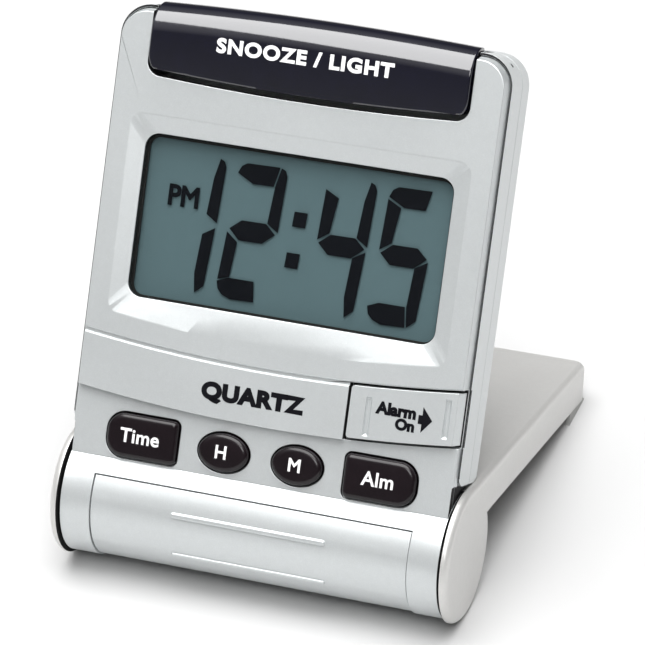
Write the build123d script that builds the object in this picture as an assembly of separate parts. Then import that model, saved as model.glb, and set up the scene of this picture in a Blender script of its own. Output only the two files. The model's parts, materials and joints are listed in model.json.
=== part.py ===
"""Folding travel alarm clock: clock body on a cover that swings round to become its stand.

All sizes are millimetres. Two working frames share the hinge axis as their x axis.
Clock frame: x right, y up the face, z out of the face. Cover frame: x right, y from the
hinge to the free end of the cover, z out of the cover's smooth side. place_clock and
place_cover put them into the standing pose: x right, y back, z up, base on z = 0.
"""
import os
from math import cos, radians, sin, sqrt

from build123d import *

os.makedirs("parts", exist_ok=True)

# ---- standing pose
LEAN = 28.05                 # how far the face leans back from vertical
COVER_SLOPE = 13.4           # how far the cover falls towards its free end

# ---- hinge and cover
CHEEK_R = 12.3
COVER_HALF = 38.0            # outside of the cover
CHEEK_IN = 36.45             # inner face of each hinge cheek
WALL_IN = 37.05              # inner face of the cover's side walls
COVER_LEN = 72.2
COVER_PLATE = 1.6
COVER_START = 6.9            # front edge of the plate
RIM_Z = 4.8                  # rim of the side walls
COVER_FILLET = 1.4
SWEEP_R = 12.55              # side walls are cut back outside this radius

# ---- battery barrel
BARREL_R = 11.65
BARREL_WALL = 1.6
BARREL_HALF = 35.95
DOOR_HALF = 30.1
DOOR_TOP = 22.25             # angles from the face normal towards the top
DOOR_LOW = -92.0
DOOR_R = 11.35
DOOR_IN = 9.85
DOOR_GAP = 0.16
RIDGE_HALF = 14.7
RIDGE_ANGLES = (-2.0, -44.0)
BULKHEAD = 28.6

# ---- case
CASE_HALF = 36.75
CASE_TOP = 89.45
CASE_R = 5.8
CASE_WALL = 1.55
LUG_LOW = 13.1               # lower end of the side walls, just clear of the cheeks
LUG_R = 2.6
BACK_Z = -3.4
PARTING_Z = 1.5
PARTING_GAP = 0.14            # shadow line between the case halves
WALL_TOP_Z = 8.15
NICK_Z = 4.2
BACK_PLATE = 2.2
NECK_HALF = 35.9

# ---- fascia
UPPER_Z = 10.2
LOWER_Z = 9.0
UNDER_Z = 7.4
FASCIA_HALF = 36.3
FASCIA_TOP = 88.7
FASCIA_R = 5.2
EDGE_SLOPE = 13.0
REBATE_HALF = 36.5
SMILE_R = 295.0              # radius shared by the curved steps
ARC_UPPER = 28.0             # height of the upper smile on the centre line
ARC_LOWER = 17.9
GROOVE_DEPTH = 0.45
GROOVE_HALF = 0.42

# ---- window
WIN_HALF = 29.05
WIN_LOW = 37.2
WIN_HIGH = 66.8
WIN_R = 2.6
WIN_Z = 9.15
RECESS_HALF = 32.05
RECESS_HIGH = 70.1
RECESS_LOW = 32.05
RECESS_SMILE = 250.0
RECESS_R = 2.2
LENS_FRONT = 8.95
LENS_BACK = 7.75

# ---- snooze bar
BAR_HALF = 29.9
BAR_LOW = 78.05
BAR_GAP_LOW = 76.15
BAR_GAP_SIDE = 30.2
BAR_SMILE = 450.0
BAR_REAR_Z = 4.7
BAR_TRAVEL = 0.9

# ---- keys
KEY_Z = 10.15
KEY_TRAVEL = 0.6
KEY_GAP = 0.28
OVAL_X = 7.0
OVAL_Y = 12.05
OVAL_W = 9.6
OVAL_H = 7.0
END_IN = 15.85
END_OUT = 29.4
END_LOW = 8.05
END_HIGH = 16.1

# ---- alarm slide
SLIDE_LEFT = 15.52
SLIDE_RIGHT = 35.95
SLIDE_Z = 10.25
SLIDE_GAP = 0.5
SLIDE_TRAVEL = 1.0
SLIDE_LOW = 0.48              # heights of the slide's edges past the two smiles
SLIDE_HIGH = -0.2
SLIDE_GROOVES = (19.00, 33.55)

# ---- electronics
LCD_HALF = 30.0
PCB_HALF = 30.8
PCB_LOW = 15.5
PCB_HIGH = 74.0
PCB_Z = 2.0
PCB_T = 1.2
SCREW_SPOTS = [(-32.8, 24.0), (32.8, 24.0), (-32.8, 80.5), (32.8, 80.5)]

# ---- cell
CELL_R = 7.2
CELL_LEN = 49.2
CELL_NUB_R = 2.6
CELL_NUB = 1.2

FOOT_LEN = 9.0


def box(x0, x1, y0, y1, z0, z1):
    """Box between two corners."""
    b = Box(x1 - x0, y1 - y0, z1 - z0)
    return Pos((x0 + x1) / 2, (y0 + y1) / 2, (z0 + z1) / 2) * b


def x_cylinder(r, x0, x1):
    """Cylinder along the hinge axis."""
    return Pos((x0 + x1) / 2, 0, 0) * Rot(0, 90, 0) * Cylinder(r, x1 - x0)


def mirrored(shape):
    """A shape and its mirror image on the other side."""
    return [shape, shape.mirror(Plane.YZ)]


def plate(sketch, z0, z1, taper=0.0):
    """Sketch in the x-y plane made solid between two heights."""
    return extrude(Pos(0, 0, z0) * sketch, amount=z1 - z0, taper=taper)


def side_profile(points, half):
    """Closed outline given as (y, z), made solid across the width."""
    face = Plane.YZ * make_face(Polyline(points, close=True))
    return extrude(face, amount=half, both=True)


def rounded(half, low, high, r_low, r_high):
    """Upright rounded rectangle, centred across the width."""
    s = Pos(0, (low + high) / 2) * Rectangle(2 * half, high - low)
    rows = s.vertices().group_by(Axis.Y)
    if r_high > 0:
        s = fillet(rows[-1], r_high)
        rows = s.vertices().group_by(Axis.Y)
    if r_low > 0:
        s = fillet(rows[0], r_low)
    return s


def above_smile(mid, radius=SMILE_R):
    """Region above a curve that sags in the middle."""
    return Pos(0, mid + radius) * Circle(radius)


def smile_rounded(half, mid, high, radius, r_low, r_high):
    """Rounded rectangle whose lower edge sags in the middle."""
    s = Pos(0, (mid + high) / 2) * Rectangle(2 * half, high - mid)
    s = s & above_smile(mid, radius)
    rows = s.vertices().group_by(Axis.Y)
    s = fillet(rows[-1], r_high)
    rows = s.vertices().sort_by(Axis.Y)
    return fillet(rows[:2], r_low)


def polar(r, angle):
    """(y, z) point at an angle from the face normal towards the top."""
    return (r * sin(radians(angle)), r * cos(radians(angle)))


def sector(a0, a1, half):
    """Wedge around the hinge axis between two angles."""
    steps = [a0 + (a1 - a0) * i / 6 for i in range(7)]
    return side_profile([(0, 0)] + [polar(40, a) for a in steps], half)


def end_key(grow, outward):
    """Outline of the outer keys: rounded outside, nearly square inside."""
    s = Pos((END_IN + END_OUT) / 2, (END_LOW + END_HIGH) / 2) * Rectangle(
        END_OUT - END_IN + 2 * grow, END_HIGH - END_LOW + 2 * grow)
    cols = s.vertices().group_by(Axis.X)
    s = fillet(cols[-1], 3.3 + grow)
    cols = s.vertices().group_by(Axis.X)
    s = fillet(cols[0], 1.1 + grow)
    return s if outward > 0 else s.mirror(Plane.YZ)


def oval_key(grow, side):
    """Outline of the middle keys."""
    s = RectangleRounded(OVAL_W + 2 * grow, OVAL_H + 2 * grow, OVAL_H / 2 + grow - 0.05)
    s = Ellipse(OVAL_W / 2 + grow, OVAL_H / 2 + grow)
    return Pos(side * OVAL_X, OVAL_Y) * s


def key_outlines(grow):
    """The four key outlines, left to right."""
    return {
        "button_time": end_key(grow, -1),
        "button_hour": oval_key(grow, -1),
        "button_minute": oval_key(grow, 1),
        "button_alarm": end_key(grow, 1),
    }


def slide_outline(grow, right):
    """Region between the two smiles at the right of the band."""
    s = Pos((SLIDE_LEFT - grow + right) / 2, 24) * Rectangle(right - SLIDE_LEFT + grow, 30)
    s = s & above_smile(ARC_LOWER + SLIDE_LOW - grow)
    return s - above_smile(ARC_UPPER + SLIDE_HIGH + grow)


def make_fascia():
    """Silver front panel with its window recess, steps, key holes and slide bay."""
    foot = rounded(FASCIA_HALF, 0, FASCIA_TOP, 0, FASCIA_R)
    body = plate(foot, UNDER_Z, WALL_TOP_Z)
    body += plate(rounded(FASCIA_HALF, -20, FASCIA_TOP, 0, FASCIA_R), WALL_TOP_Z, UPPER_Z, EDGE_SLOPE)
    body -= plate(Rectangle(120, 120) - above_smile(ARC_LOWER), LOWER_Z, UPPER_Z + 1)
    body -= box(-60, 60, -40, 0, 0, 20)
    body -= x_cylinder(BARREL_R + 0.03, -60, 60)
    for side in mirrored(box(NECK_HALF, 50, -5, LUG_LOW, 0, 20)):
        body -= side
    # groove along the upper smile
    ring = Circle(SMILE_R + GROOVE_HALF) - Circle(SMILE_R - GROOVE_HALF)
    ring = (Pos(0, ARC_UPPER + SMILE_R) * ring) & (Pos(0, 30) * Rectangle(90, 20))
    body -= plate(ring, UPPER_Z - GROOVE_DEPTH, UPPER_Z + 1)
    # bevelled recess round the window
    outer = smile_rounded(RECESS_HALF, RECESS_LOW, RECESS_HIGH, RECESS_SMILE, RECESS_R, RECESS_R)
    inner = smile_rounded(WIN_HALF, WIN_LOW, WIN_HIGH, 20000, WIN_R, WIN_R)
    body -= loft([Pos(0, 0, WIN_Z) * inner, Pos(0, 0, UPPER_Z) * outer], ruled=True)
    body -= plate(rounded(WIN_HALF, WIN_LOW, WIN_HIGH, WIN_R, WIN_R), 0, 20)
    body -= plate(rounded(WIN_HALF + 1.4, WIN_LOW - 1.4, WIN_HIGH + 1.4, 3, 3), 0, LENS_BACK + 0.55)
    # keys
    for name, s in key_outlines(KEY_GAP).items():
        body -= plate(s, 0, 20)
    # slide bay with a thin floor, and a slot for the slide's stem
    body -= plate(slide_outline(SLIDE_GAP, 60), UNDER_Z + 0.55, 20)
    body -= box(23.4, 28.4, 22.4, 25.4, 0, 20)
    # snooze bar bay
    bay = smile_rounded(BAR_GAP_SIDE, BAR_GAP_LOW, 130, BAR_SMILE, 2.6, 2.6)
    body -= plate(bay, 0, 30)
    return body


def case_ring(z0, z1):
    """Side walls of the case between two heights, open at the bottom."""
    ring = rounded(CASE_HALF, -30, CASE_TOP, 0, CASE_R)
    ring -= rounded(CASE_HALF - CASE_WALL, -40, CASE_TOP - CASE_WALL, 0, CASE_R - CASE_WALL)
    return plate(ring, z0, z1)


def side_mask():
    """Everything the case may fill seen from the side: rounded lower ends of the side walls."""
    s = Rectangle(120, WALL_TOP_Z - BACK_Z)
    s = Pos(LUG_LOW + 60, (WALL_TOP_Z + BACK_Z) / 2) * s
    s = fillet(s.vertices().group_by(Axis.X)[0], LUG_R)
    return extrude(Plane.YZ * s, amount=60, both=True)


def bar_bay(z0):
    """Space the snooze bar needs in the case walls."""
    return box(-BAR_GAP_SIDE, BAR_GAP_SIDE, BAR_GAP_LOW + 1.2, 120, z0, 40)


def make_front_case():
    """Side walls, screw bosses and a shelf that carries the fascia."""
    body = case_ring(PARTING_Z + PARTING_GAP, WALL_TOP_Z) & side_mask()
    body -= plate(rounded(REBATE_HALF, -40, FASCIA_TOP + 0.2, 0, FASCIA_R + 0.2), UNDER_Z - 0.03, 20)
    for x, y in SCREW_SPOTS:
        boss = Pos(x, y) * Circle(2.5)
        boss += Pos(x * 1.035, y) * Rectangle(2.4, 5)
        body += plate(boss, PARTING_Z + PARTING_GAP, UNDER_Z - 0.05)
        body -= plate(Pos(x, y) * Circle(0.92), PARTING_Z - 1, 6.4)
    for shelf in mirrored(box(15.6, 35.4, 74.6, 75.7, 2.6, UNDER_Z - 0.05)):
        body += shelf
    body -= bar_bay(BAR_REAR_Z - 0.35)
    # small latch nick in each top corner
    reach = CASE_HALF - CASE_R + (CASE_R - 0.1) * cos(radians(45))
    rise = CASE_TOP - CASE_R + (CASE_R - 0.1) * cos(radians(45))
    for nick in mirrored(Pos(reach, rise, NICK_Z) * Rot(0, 0, 45) * Box(0.7, 0.8, 0.9)):
        body -= nick
    # notch that lets the alarm slide run out past the side
    body -= plate(slide_outline(SLIDE_GAP, 60) - Rectangle(66, 200), UNDER_Z + 0.2, 20)
    return body


def make_rear_case():
    """Back shell in one piece with the battery barrel."""
    outline = rounded(CASE_HALF, -30, CASE_TOP, 0, CASE_R)
    back = plate(outline, BACK_Z, BACK_Z + BACK_PLATE)
    back = fillet(back.edges().filter_by(Plane.XY).group_by(Axis.Z)[0], 0.7)
    body = (back + case_ring(BACK_Z + BACK_PLATE, PARTING_Z)) & side_mask()
    for x, y in SCREW_SPOTS:
        boss = Pos(x, y) * Circle(2.9)
        boss += Pos(x * 1.035, y) * Rectangle(2.4, 5.8)
        body += plate(boss, BACK_Z + 0.8, PARTING_Z)
    neck = box(-NECK_HALF, NECK_HALF, 5, LUG_LOW - 0.05, BACK_Z, UNDER_Z - 0.05)
    neck += box(-NECK_HALF + 0.75, NECK_HALF - 0.75, 5, LUG_LOW + 2.5, BACK_Z, UNDER_Z - 0.05)
    neck -= box(-NECK_HALF + 1.9, NECK_HALF - 1.9, 0, 40, BACK_Z + BACK_PLATE, 20)
    tube = x_cylinder(BARREL_R, -BARREL_HALF, BARREL_HALF)
    core = x_cylinder(BARREL_R - BARREL_WALL, -BARREL_HALF + 1.6, BARREL_HALF - 1.6)
    body = body + neck + tube - core
    for x in (-BULKHEAD, BULKHEAD):
        body += x_cylinder(BARREL_R - BARREL_WALL + 0.2, x - 0.6, x + 0.6)
    body -= (x_cylinder(30, -DOOR_HALF - DOOR_GAP, DOOR_HALF + DOOR_GAP)
             - x_cylinder(DOOR_IN - 0.25, -60, 60)) & sector(DOOR_TOP + 0.8, DOOR_LOW - 0.8, 50)
    body -= box(-27.5, 27.5, 0, 16, -1.0, 6.0) - x_cylinder(BARREL_R - BARREL_WALL - 0.2, -40, 40)
    # room for the keys and the board under them
    body -= box(-31.6, 31.6, 7.9, 17.2, 3.1, UNDER_Z)
    for outline in key_outlines(0.12).values():
        body -= plate(outline, 3.1, 20)
    for outline in key_outlines(0.95).values():
        body -= plate(outline & (Pos(0, 58.2) * Rectangle(100, 100)), 3.1, UNDER_Z)
    for x, y in SCREW_SPOTS:
        body -= plate(Pos(x, y) * Circle(1.3), BACK_Z - 1, PARTING_Z + 1)
        body -= plate(Pos(x, y) * Circle(2.4), BACK_Z - 1, BACK_Z + 1.5)
    # sounder grille
    for i in range(-3, 4):
        body -= box(-7, 7, 56 + i * 2.0 - 0.45, 56 + i * 2.0 + 0.45, BACK_Z - 1, BACK_Z + 3)
    for half in mirrored(x_cylinder(1.55, BARREL_HALF - 2.5, BARREL_HALF + 1)):
        body -= half
    return body


def make_door():
    """Curved battery door with two raised grip bars."""
    half = DOOR_HALF
    body = x_cylinder(DOOR_R, -half, half) - x_cylinder(DOOR_IN, -half - 1, half + 1)
    body = body & sector(DOOR_TOP, DOOR_LOW, half + 1)
    for angle in RIDGE_ANGLES:
        y, z = polar(DOOR_R - 0.1, angle)
        bar = Box(2 * RIDGE_HALF, 0.95, 1.0)
        bar = fillet(bar.edges().filter_by(Axis.Z), 0.45)
        bar = chamfer(bar.faces().sort_by(Axis.Z)[-1].edges(), 0.18)
        body += Pos(0, y, z) * Rot(-angle, 0, 0) * bar
    return body


def make_cover():
    """Cover and stand: smooth plate, side walls and the two hinge cheeks."""
    h = COVER_HALF
    slab = box(-h, h, 0, COVER_LEN, RIM_Z, CHEEK_R)
    slab = fillet(slab.edges().filter_by(Axis.Z).group_by(Axis.Y)[-1], 2.4)
    top = slab.edges().group_by(Axis.Z)[-1]
    slab = fillet([e for e in top if e.center().Y > 0.1], COVER_FILLET)
    drum = x_cylinder(CHEEK_R, -h, h)
    drum = fillet(drum.edges().filter_by(GeomType.CIRCLE), COVER_FILLET)
    body = slab + drum
    gap = box(-CHEEK_IN, CHEEK_IN, -20, 100, -20, CHEEK_R - COVER_PLATE)
    gap += box(-CHEEK_IN, CHEEK_IN, -20, COVER_START, -20, 20)
    body -= gap
    side = box(-WALL_IN, WALL_IN, -20, 100, -20, CHEEK_R - COVER_PLATE)
    side -= x_cylinder(SWEEP_R, -60, 60)
    body -= side
    for pin in mirrored(x_cylinder(1.5, CHEEK_IN - 1, CHEEK_IN + 0.95)):
        body -= pin
    return body


def make_feet():
    """Two rubber strips under the rear ends of the cover's rim, flat on the table."""
    y1 = COVER_LEN - 0.6
    y0 = y1 - FOOT_LEN
    top = 9.0
    s = side_profile([(y0, RIM_Z - 0.02), (y1, RIM_Z - 0.02), (y1, -top), (y0, -top)], 1)
    strip = s & box(-0.4, 0.4, y0, y1, -top, RIM_Z - 0.02)
    below = Rot(COVER_SLOPE, 0, 0) * box(-5, 5, -20, 120, -60, -CHEEK_R)
    strip -= below
    return [Pos(x, 0, 0) * strip for x in (-37.5, 37.5)]


def make_snooze_bar():
    """Convex bar wrapped over the top edge, hollow underneath."""
    def section(x, low, high, crown):
        front = Spline(
            [(low, UPPER_Z - 0.2), (low + 0.45, UPPER_Z + 0.35), (low + 2.6, UPPER_Z + crown * 0.85),
             (low + 6.2, UPPER_Z + crown), (low + 9.8, UPPER_Z + crown * 0.45),
             (high - 1.5, UPPER_Z - 1.7), (high - 0.25, UPPER_Z - 3.4), (high, BAR_REAR_Z)],
            tangents=[(0, 1), (0, -1)])
        inner = Polyline([(high, BAR_REAR_Z), (low, BAR_REAR_Z), (low, UPPER_Z - 0.2)])
        return Plane.YZ.offset(x) * make_face(front + inner)

    h = BAR_HALF
    sag = h * h / (2 * BAR_SMILE)
    ends = dict(low=BAR_LOW - 0.2, high=90.15, crown=1.05)
    body = loft([section(-h, **ends), section(0, BAR_LOW - 1.0, 90.9, 1.35), section(h, **ends)])
    outline = smile_rounded(h, BAR_LOW, 100, BAR_SMILE, 2.3, 0.9)
    body = body & plate(outline, 0, 30)
    room = box(-h + 1.5, h - 1.5, BAR_LOW + sag + 1.2, 88.3, BAR_REAR_Z - 1, UPPER_Z - 1.1)
    room += box(-h + 1.5, h - 1.5, BAR_LOW + sag + 1.2, 86.6, BAR_REAR_Z - 1, UPPER_Z + 0.05)
    body -= room
    for x in (-12, 12):
        body += box(x - 1.2, x + 1.2, 74.85, 89.2, BAR_REAR_Z, BAR_REAR_Z + 1.5)
        body += box(x - 1.2, x + 1.2, 80.0, 89.2, BAR_REAR_Z, BAR_REAR_Z + 3.5)
    body += box(-14, 14, 80.0, 81.0, BAR_REAR_Z, UPPER_Z - 0.5)
    return body


def make_keys():
    """Four glossy keys with flanges under the fascia."""
    keys = {}
    inner = key_outlines(0.0)
    flanges = key_outlines(0.75)
    for name, outline in inner.items():
        cap = plate(outline, UNDER_Z - 0.7, KEY_Z)
        cap = fillet(cap.edges().group_by(Axis.Z)[-1], 0.75)
        flange = flanges[name] & (Pos(0, 58.4) * Rectangle(100, 100))
        keys[name] = cap + plate(flange, UNDER_Z - 0.7, UNDER_Z - 0.08)
    return keys


def make_slide():
    """Alarm slide that fills the right end of the band and turns down over the side."""
    body = plate(slide_outline(0, SLIDE_RIGHT + 0.05), UNDER_Z + 0.62, SLIDE_Z)
    corners = [e for e in body.edges().filter_by(Axis.Z) if e.center().X < SLIDE_LEFT + 1]
    body = fillet(corners, 0.6)
    wedge = Polyline([(SLIDE_RIGHT - 0.75, SLIDE_Z + 1), (SLIDE_RIGHT - 0.75, SLIDE_Z),
                      (SLIDE_RIGHT + 0.15, SLIDE_Z - 2.2), (50, SLIDE_Z - 2.2), (50, SLIDE_Z + 1)],
                     close=True)
    body -= Pos(0, -20, 0) * extrude(Plane.XZ * make_face(wedge), amount=-80)
    for x, low, high in ((SLIDE_GROOVES[0], 19.6, 26.6), (SLIDE_GROOVES[1], 21.5, 28.5)):
        groove = box(x - 0.5, x + 0.5, low, high, SLIDE_Z - 0.4, SLIDE_Z + 1.0)
        body -= chamfer(groove.faces().sort_by(Axis.Z)[0].edges(), 0.3)
    body += box(24.2, 26.6, 22.7, 25.1, UNDER_Z - 1.4, UNDER_Z + 0.7)
    body += box(23.2, 27.6, 22.3, 25.5, UNDER_Z - 1.4, UNDER_Z - 0.15)
    return body


def make_lens():
    """Clear window with a flange behind the fascia."""
    body = plate(rounded(WIN_HALF - 0.08, WIN_LOW + 0.08, WIN_HIGH - 0.08, 2.5, 2.5), LENS_BACK, LENS_FRONT)
    body = chamfer(body.edges().group_by(Axis.Z)[-1], 0.12)
    return body + plate(rounded(WIN_HALF + 1.3, WIN_LOW - 1.3, WIN_HIGH + 1.3, 3, 3), LENS_BACK, LENS_BACK + 0.5)


def make_lcd_parts():
    """Display stack from the mask back to the circuit board."""
    mask = rounded(LCD_HALF, 36.3, 67.7, 2.8, 2.8) - rounded(28.6, 37.5, 66.1, 2.0, 2.0)
    parts = {"window_mask": plate(mask, 7.35, 7.7)}
    parts["lcd_front_glass"] = plate(Pos(0, 52.9) * Rectangle(59.4, 32.4), 6.25, 7.25)
    parts["lcd_rear_glass"] = plate(Pos(0, 51.9) * Rectangle(59.4, 30.4), 5.2, 6.2)
    holder = Pos(0, 52.9) * Rectangle(61.6, 35.4) - Pos(0, 52.9) * Rectangle(59.6, 32.6)
    frame = plate(holder, 3.25, 7.25)
    frame += plate(Pos(0, 52.9) * Rectangle(61.6, 35.4) - Pos(0, 51.4) * Rectangle(57.4, 28.4), 3.25, 3.9)
    frame -= box(-28.6, 28.6, 67.35, 69.1, 3.0, 5.0)
    parts["lcd_frame"] = frame
    parts["light_guide"] = plate(Pos(0, 51.4) * Rectangle(56.6, 28.0), 3.95, 5.1)
    parts["connector_strip"] = box(-28, 28, 67.5, 68.9, 3.25, 6.2)
    lamps = [box(s * 29.15 - 0.45, s * 29.15 + 0.45, 50.2, 53.0, 4.0, 5.1) for s in (-1, 1)]
    parts["backlight_leds"] = Compound(children=lamps)
    return parts


def make_board_parts():
    """Circuit board and what is mounted on it."""
    board = plate(Pos(0, (PCB_LOW + PCB_HIGH) / 2) * Rectangle(2 * PCB_HALF, PCB_HIGH - PCB_LOW),
                  PCB_Z, PCB_Z + PCB_T)
    for x, y in SCREW_SPOTS:
        board -= plate(Pos(x, y) * Circle(3.1), 0, 8)
    parts = {"circuit_board": board}
    blob = Cylinder(5.5, 1.1)
    blob = fillet(blob.edges().group_by(Axis.Z)[0], 0.8)
    parts["chip_blob"] = Pos(0, 40, PCB_Z - 0.55) * blob
    can = Pos(16, 30, PCB_Z - 1.1) * Rot(90, 0, 0) * Cylinder(1.0, 6.0)
    parts["crystal"] = can
    caps = [Pos(x, 28, PCB_Z - 0.65) * Box(2.0, 1.25, 1.25) for x in (-20, -14, -8, 8)]
    parts["chip_capacitors"] = Compound(children=caps)
    parts["sounder"] = Pos(0, 56, -0.55) * Cylinder(9.5, 0.5) + Pos(0, 56, -0.05) * Cylinder(7.2, 0.4)
    parts["sounder_ring"] = Pos(0, 56, -1.0) * (Cylinder(10.4, 0.38) - Cylinder(8.6, 1))
    taps = [Pos(x, 72.6, 4.6) * Box(6.2, 2.6, 2.7) for x in (-12, 12)]
    parts["snooze_switches"] = Compound(children=taps)
    mat = plate(Pos(0, 12.5) * RectangleRounded(62, 8.4, 1.5), 4.2, 5.0)
    for x in (-22.6, -OVAL_X, OVAL_X, 22.6):
        mat += Pos(x, 12.5, 5.5) * Cone(2.8, 1.9, 1.0)
    parts["key_mat"] = mat
    sub = plate(Pos(0, 12.5) * Rectangle(62, 8.4), 3.25, 4.15)
    parts["key_board"] = sub
    return parts


def make_cell_parts():
    """Battery cell with its contacts and spring, along the barrel."""
    can = x_cylinder(CELL_R, -CELL_LEN / 2, CELL_LEN / 2)
    can = fillet(can.edges(), 0.5)
    parts = {"cell": can}
    nub = x_cylinder(CELL_NUB_R, CELL_LEN / 2, CELL_LEN / 2 + CELL_NUB)
    parts["cell_terminal"] = fillet(nub.edges().group_by(Axis.X)[-1], 0.3)
    inner = BULKHEAD - 0.6
    x1 = CELL_LEN / 2 + CELL_NUB
    tab = box(inner - 0.35, inner, -5, 5, -4, 4)
    parts["contact_positive"] = tab + x_cylinder(2.0, x1 + 0.02, inner - 0.2)
    parts["contact_negative"] = box(-inner, -inner + 0.35, -5, 5, -4, 4)
    start = -inner + 0.55
    length = -CELL_LEN / 2 - 0.25 - start
    path = Helix(pitch=length / 3.5, height=length, radius=3.2)
    wire = Plane(origin=path @ 0, z_dir=path % 0) * Circle(0.2)
    coil = sweep(wire, path=path, is_frenet=True)
    parts["battery_spring"] = Pos(start, 0, 0) * Rot(0, 90, 0) * coil
    return parts


def make_screws():
    """Case screws, driven from the back."""
    screws = []
    for x, y in SCREW_SPOTS:
        head = Pos(x, y, BACK_Z + 0.85) * Cylinder(2.0, 1.2)
        slot = Box(2.4, 0.5, 0.5) + Box(0.5, 2.4, 0.5)
        head -= Pos(x, y, BACK_Z + 0.3) * slot
        screws.append(head + Pos(x, y, (BACK_Z + 1.4 + 6.0) / 2) * Cylinder(0.88, 6.0 - BACK_Z - 1.4))
    return Compound(children=screws)


def make_pins():
    """Steel pivot pins, fixed in the cheeks."""
    return Compound(children=mirrored(x_cylinder(1.5, BARREL_HALF - 1.9, CHEEK_IN + 0.95)))


def make_washers():
    """Friction washers between the barrel ends and the cheeks."""
    ring = x_cylinder(5.5, BARREL_HALF + 0.04, CHEEK_IN - 0.04)
    ring -= x_cylinder(1.53, BARREL_HALF - 1, CHEEK_IN + 1)
    return Compound(children=mirrored(ring))


clock = {
    "fascia": make_fascia(),
    "front_case": make_front_case(),
    "rear_case": make_rear_case(),
    "battery_door": make_door(),
    "snooze_bar": make_snooze_bar(),
    "alarm_slide": make_slide(),
    "lens": make_lens(),
    "case_screws": make_screws(),
}
clock.update(make_keys())
clock.update(make_lcd_parts())
clock.update(make_board_parts())
clock.update(make_cell_parts())

cover = {
    "cover_shell": make_cover(),
    "rubber_feet": Compound(children=make_feet()),
    "pivot_pins": make_pins(),
    "friction_washers": make_washers(),
}

place_clock = Pos(0, 0, CHEEK_R) * Rot(90 - LEAN, 0, 0)
place_cover = Pos(0, 0, CHEEK_R) * Rot(-COVER_SLOPE, 0, 0)

placed = {name: place_clock * shape for name, shape in clock.items()}
placed.update({name: place_cover * shape for name, shape in cover.items()})

whole = Compound(children=[Compound(shape.solids()) for shape in placed.values()]).bounding_box()
shift = Pos(-(whole.min.X + whole.max.X) / 2, -(whole.min.Y + whole.max.Y) / 2, -whole.min.Z)

for name, shape in placed.items():
    moved = shift * shape
    export_step(moved, f"parts/{name}.step")
    print(name, len(moved.solids()), round(moved.volume, 1))
print("shift", shift.position, "size", whole.size)
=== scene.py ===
"""Looks of a folding travel alarm clock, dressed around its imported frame.

Pieces are modelled in millimetres in one of two local frames that share the hinge axis as
their x axis, then placed in the row frame in metres. Clock frame: x right, y up the face,
z out of the face. Cover frame: x right, y towards the free end, z out of the smooth side.
"""
import json
import logging
import math
from dataclasses import dataclass, field
from enum import Enum
from typing import Callable, Iterable, Mapping, Sequence

import bmesh
import bpy
from mathutils import Matrix, Vector


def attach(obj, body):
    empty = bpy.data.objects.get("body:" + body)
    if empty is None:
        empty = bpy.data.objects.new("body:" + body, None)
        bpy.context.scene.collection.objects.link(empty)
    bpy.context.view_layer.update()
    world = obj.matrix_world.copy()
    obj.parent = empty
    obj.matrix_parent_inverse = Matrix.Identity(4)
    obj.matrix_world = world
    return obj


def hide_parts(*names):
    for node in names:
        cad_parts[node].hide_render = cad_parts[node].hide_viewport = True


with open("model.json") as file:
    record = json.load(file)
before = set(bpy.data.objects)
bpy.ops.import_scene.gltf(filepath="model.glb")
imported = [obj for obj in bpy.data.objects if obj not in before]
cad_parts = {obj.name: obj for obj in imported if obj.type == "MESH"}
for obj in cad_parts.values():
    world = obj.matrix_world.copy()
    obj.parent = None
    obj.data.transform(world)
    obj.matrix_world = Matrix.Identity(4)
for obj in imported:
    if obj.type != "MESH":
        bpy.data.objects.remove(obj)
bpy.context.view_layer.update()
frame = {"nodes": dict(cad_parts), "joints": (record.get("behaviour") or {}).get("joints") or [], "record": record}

LOG = logging.getLogger("alarm_clock")

MM = 0.001
LEAN = 28.05
COVER_SLOPE = 13.4
PRINT_DROP = 14.0
HINGE = Vector(next(j["pos_m"] for j in frame["joints"] if j["name"] == "hinge"))

Point = tuple[float, float]
Colour = tuple[float, float, float]


class Local(Enum):
    """The two frames in which pieces are modelled, in millimetres."""

    CLOCK = 90.0 - LEAN
    COVER = -COVER_SLOPE

    @property
    def matrix(self) -> Matrix:
        """Matrix from the local frame in millimetres to the row frame in metres."""
        turn = Matrix.Rotation(math.radians(self.value), 4, "X")
        return Matrix.Translation(HINGE) @ turn @ Matrix.Scale(MM, 4)


class Body(Enum):
    """Moving bodies of the clock."""

    COVER = "cover"
    CLOCK = "clock"
    SNOOZE = "snooze_bar"
    SLIDE = "alarm_slide"
    DOOR = "battery_door"
    TIME = "key_time"
    HOUR = "key_hour"
    MINUTE = "key_minute"
    ALARM = "key_alarm"


# ---------------- shader maths
class Wire:
    """A shader value that can be written in sums and products."""

    def __init__(self, plan: "Plan", socket: bpy.types.NodeSocket) -> None:
        """Wraps one output socket of a plan."""
        self.plan = plan
        self.socket = socket

    def _maths(self, operation: str, first: "Wire | float", second: "Wire | float") -> "Wire":
        """Adds a Math node and returns its result."""
        return self.plan.wire("ShaderNodeMath", {"operation": operation}, {0: first, 1: second})

    def __add__(self, other: "Wire | float") -> "Wire":
        """Sum."""
        return self._maths("ADD", self, other)

    __radd__ = __add__

    def __sub__(self, other: "Wire | float") -> "Wire":
        """Difference."""
        return self._maths("SUBTRACT", self, other)

    def __rsub__(self, other: float) -> "Wire":
        """Difference from a number."""
        return self._maths("SUBTRACT", other, self)

    def __mul__(self, other: "Wire | float") -> "Wire":
        """Product."""
        return self._maths("MULTIPLY", self, other)

    __rmul__ = __mul__

    def clamped(self, low: float, high: float) -> "Wire":
        """The value kept between two limits."""
        return self._maths("MINIMUM", self._maths("MAXIMUM", self, low), high)


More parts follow.
